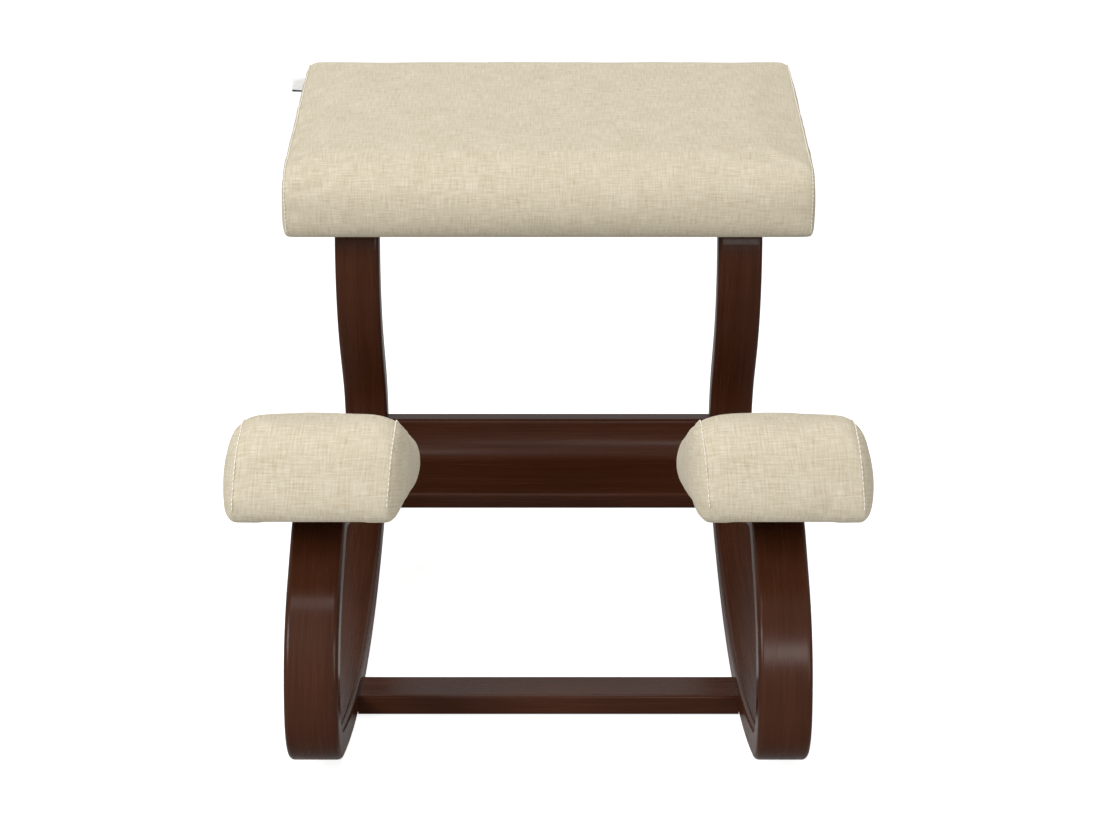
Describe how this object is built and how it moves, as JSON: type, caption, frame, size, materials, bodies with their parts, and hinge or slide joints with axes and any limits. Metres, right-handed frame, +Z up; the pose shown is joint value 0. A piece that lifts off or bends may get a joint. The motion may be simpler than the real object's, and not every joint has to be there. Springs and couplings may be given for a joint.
{
  "type": "kneeling chair",
  "caption": "Rocking kneeling chair: sloped linen seat and two knee pads on bent laminated wood runners joined by a formed crosspiece and a floor bar.",
  "frame": {"origin": "on the floor, midway between the lowest points of the two rockers, with the seat tilted as in use", "axes": "+Z up, -Y to the front (the side of the knee pads, where the sitter faces), +X to the right when the chair is seen from the front"},
  "size_m": [0.533, 0.7358, 0.5139],
  "materials": {
    "stained_wood": "dark walnut stain under semi-gloss lacquer",
    "plywood": "raw birch plywood",
    "beech": "raw beech dowel",
    "foam": "moulded polyurethane foam",
    "linen": "cream linen weave",
    "lining": "black spun lining cloth",
    "tag": "blank white woven tag",
    "black_steel": "black oxide steel",
    "zinc_steel": "zinc plated steel"
  },
  "bodies": {
    "root": {"left_runner": "stained_wood", "right_runner": "stained_wood", "rear_crosspiece": "stained_wood", "floor_crossbar": "stained_wood", "seat_board": "plywood", "seat_foam": "foam", "seat_cover": "linen", "seat_lining": "lining", "left_knee_board": "plywood", "left_knee_foam": "foam", "left_knee_cover": "linen", "left_knee_lining": "lining", "right_knee_board": "plywood", "right_knee_foam": "foam", "right_knee_cover": "linen", "right_knee_lining": "lining", "seat_bolts": "black_steel", "seat_washers": "black_steel", "seat_tee_nuts": "zinc_steel", "knee_bolts": "black_steel", "knee_washers": "black_steel", "knee_tee_nuts": "zinc_steel", "crosspiece_bolts": "black_steel", "crosspiece_barrel_nuts": "zinc_steel", "crosspiece_dowels": "beech", "crossbar_bolts": "black_steel", "crossbar_barrel_nuts": "zinc_steel", "crossbar_dowels": "beech", "side_tag": "tag"}
  },
  "joints": []
}
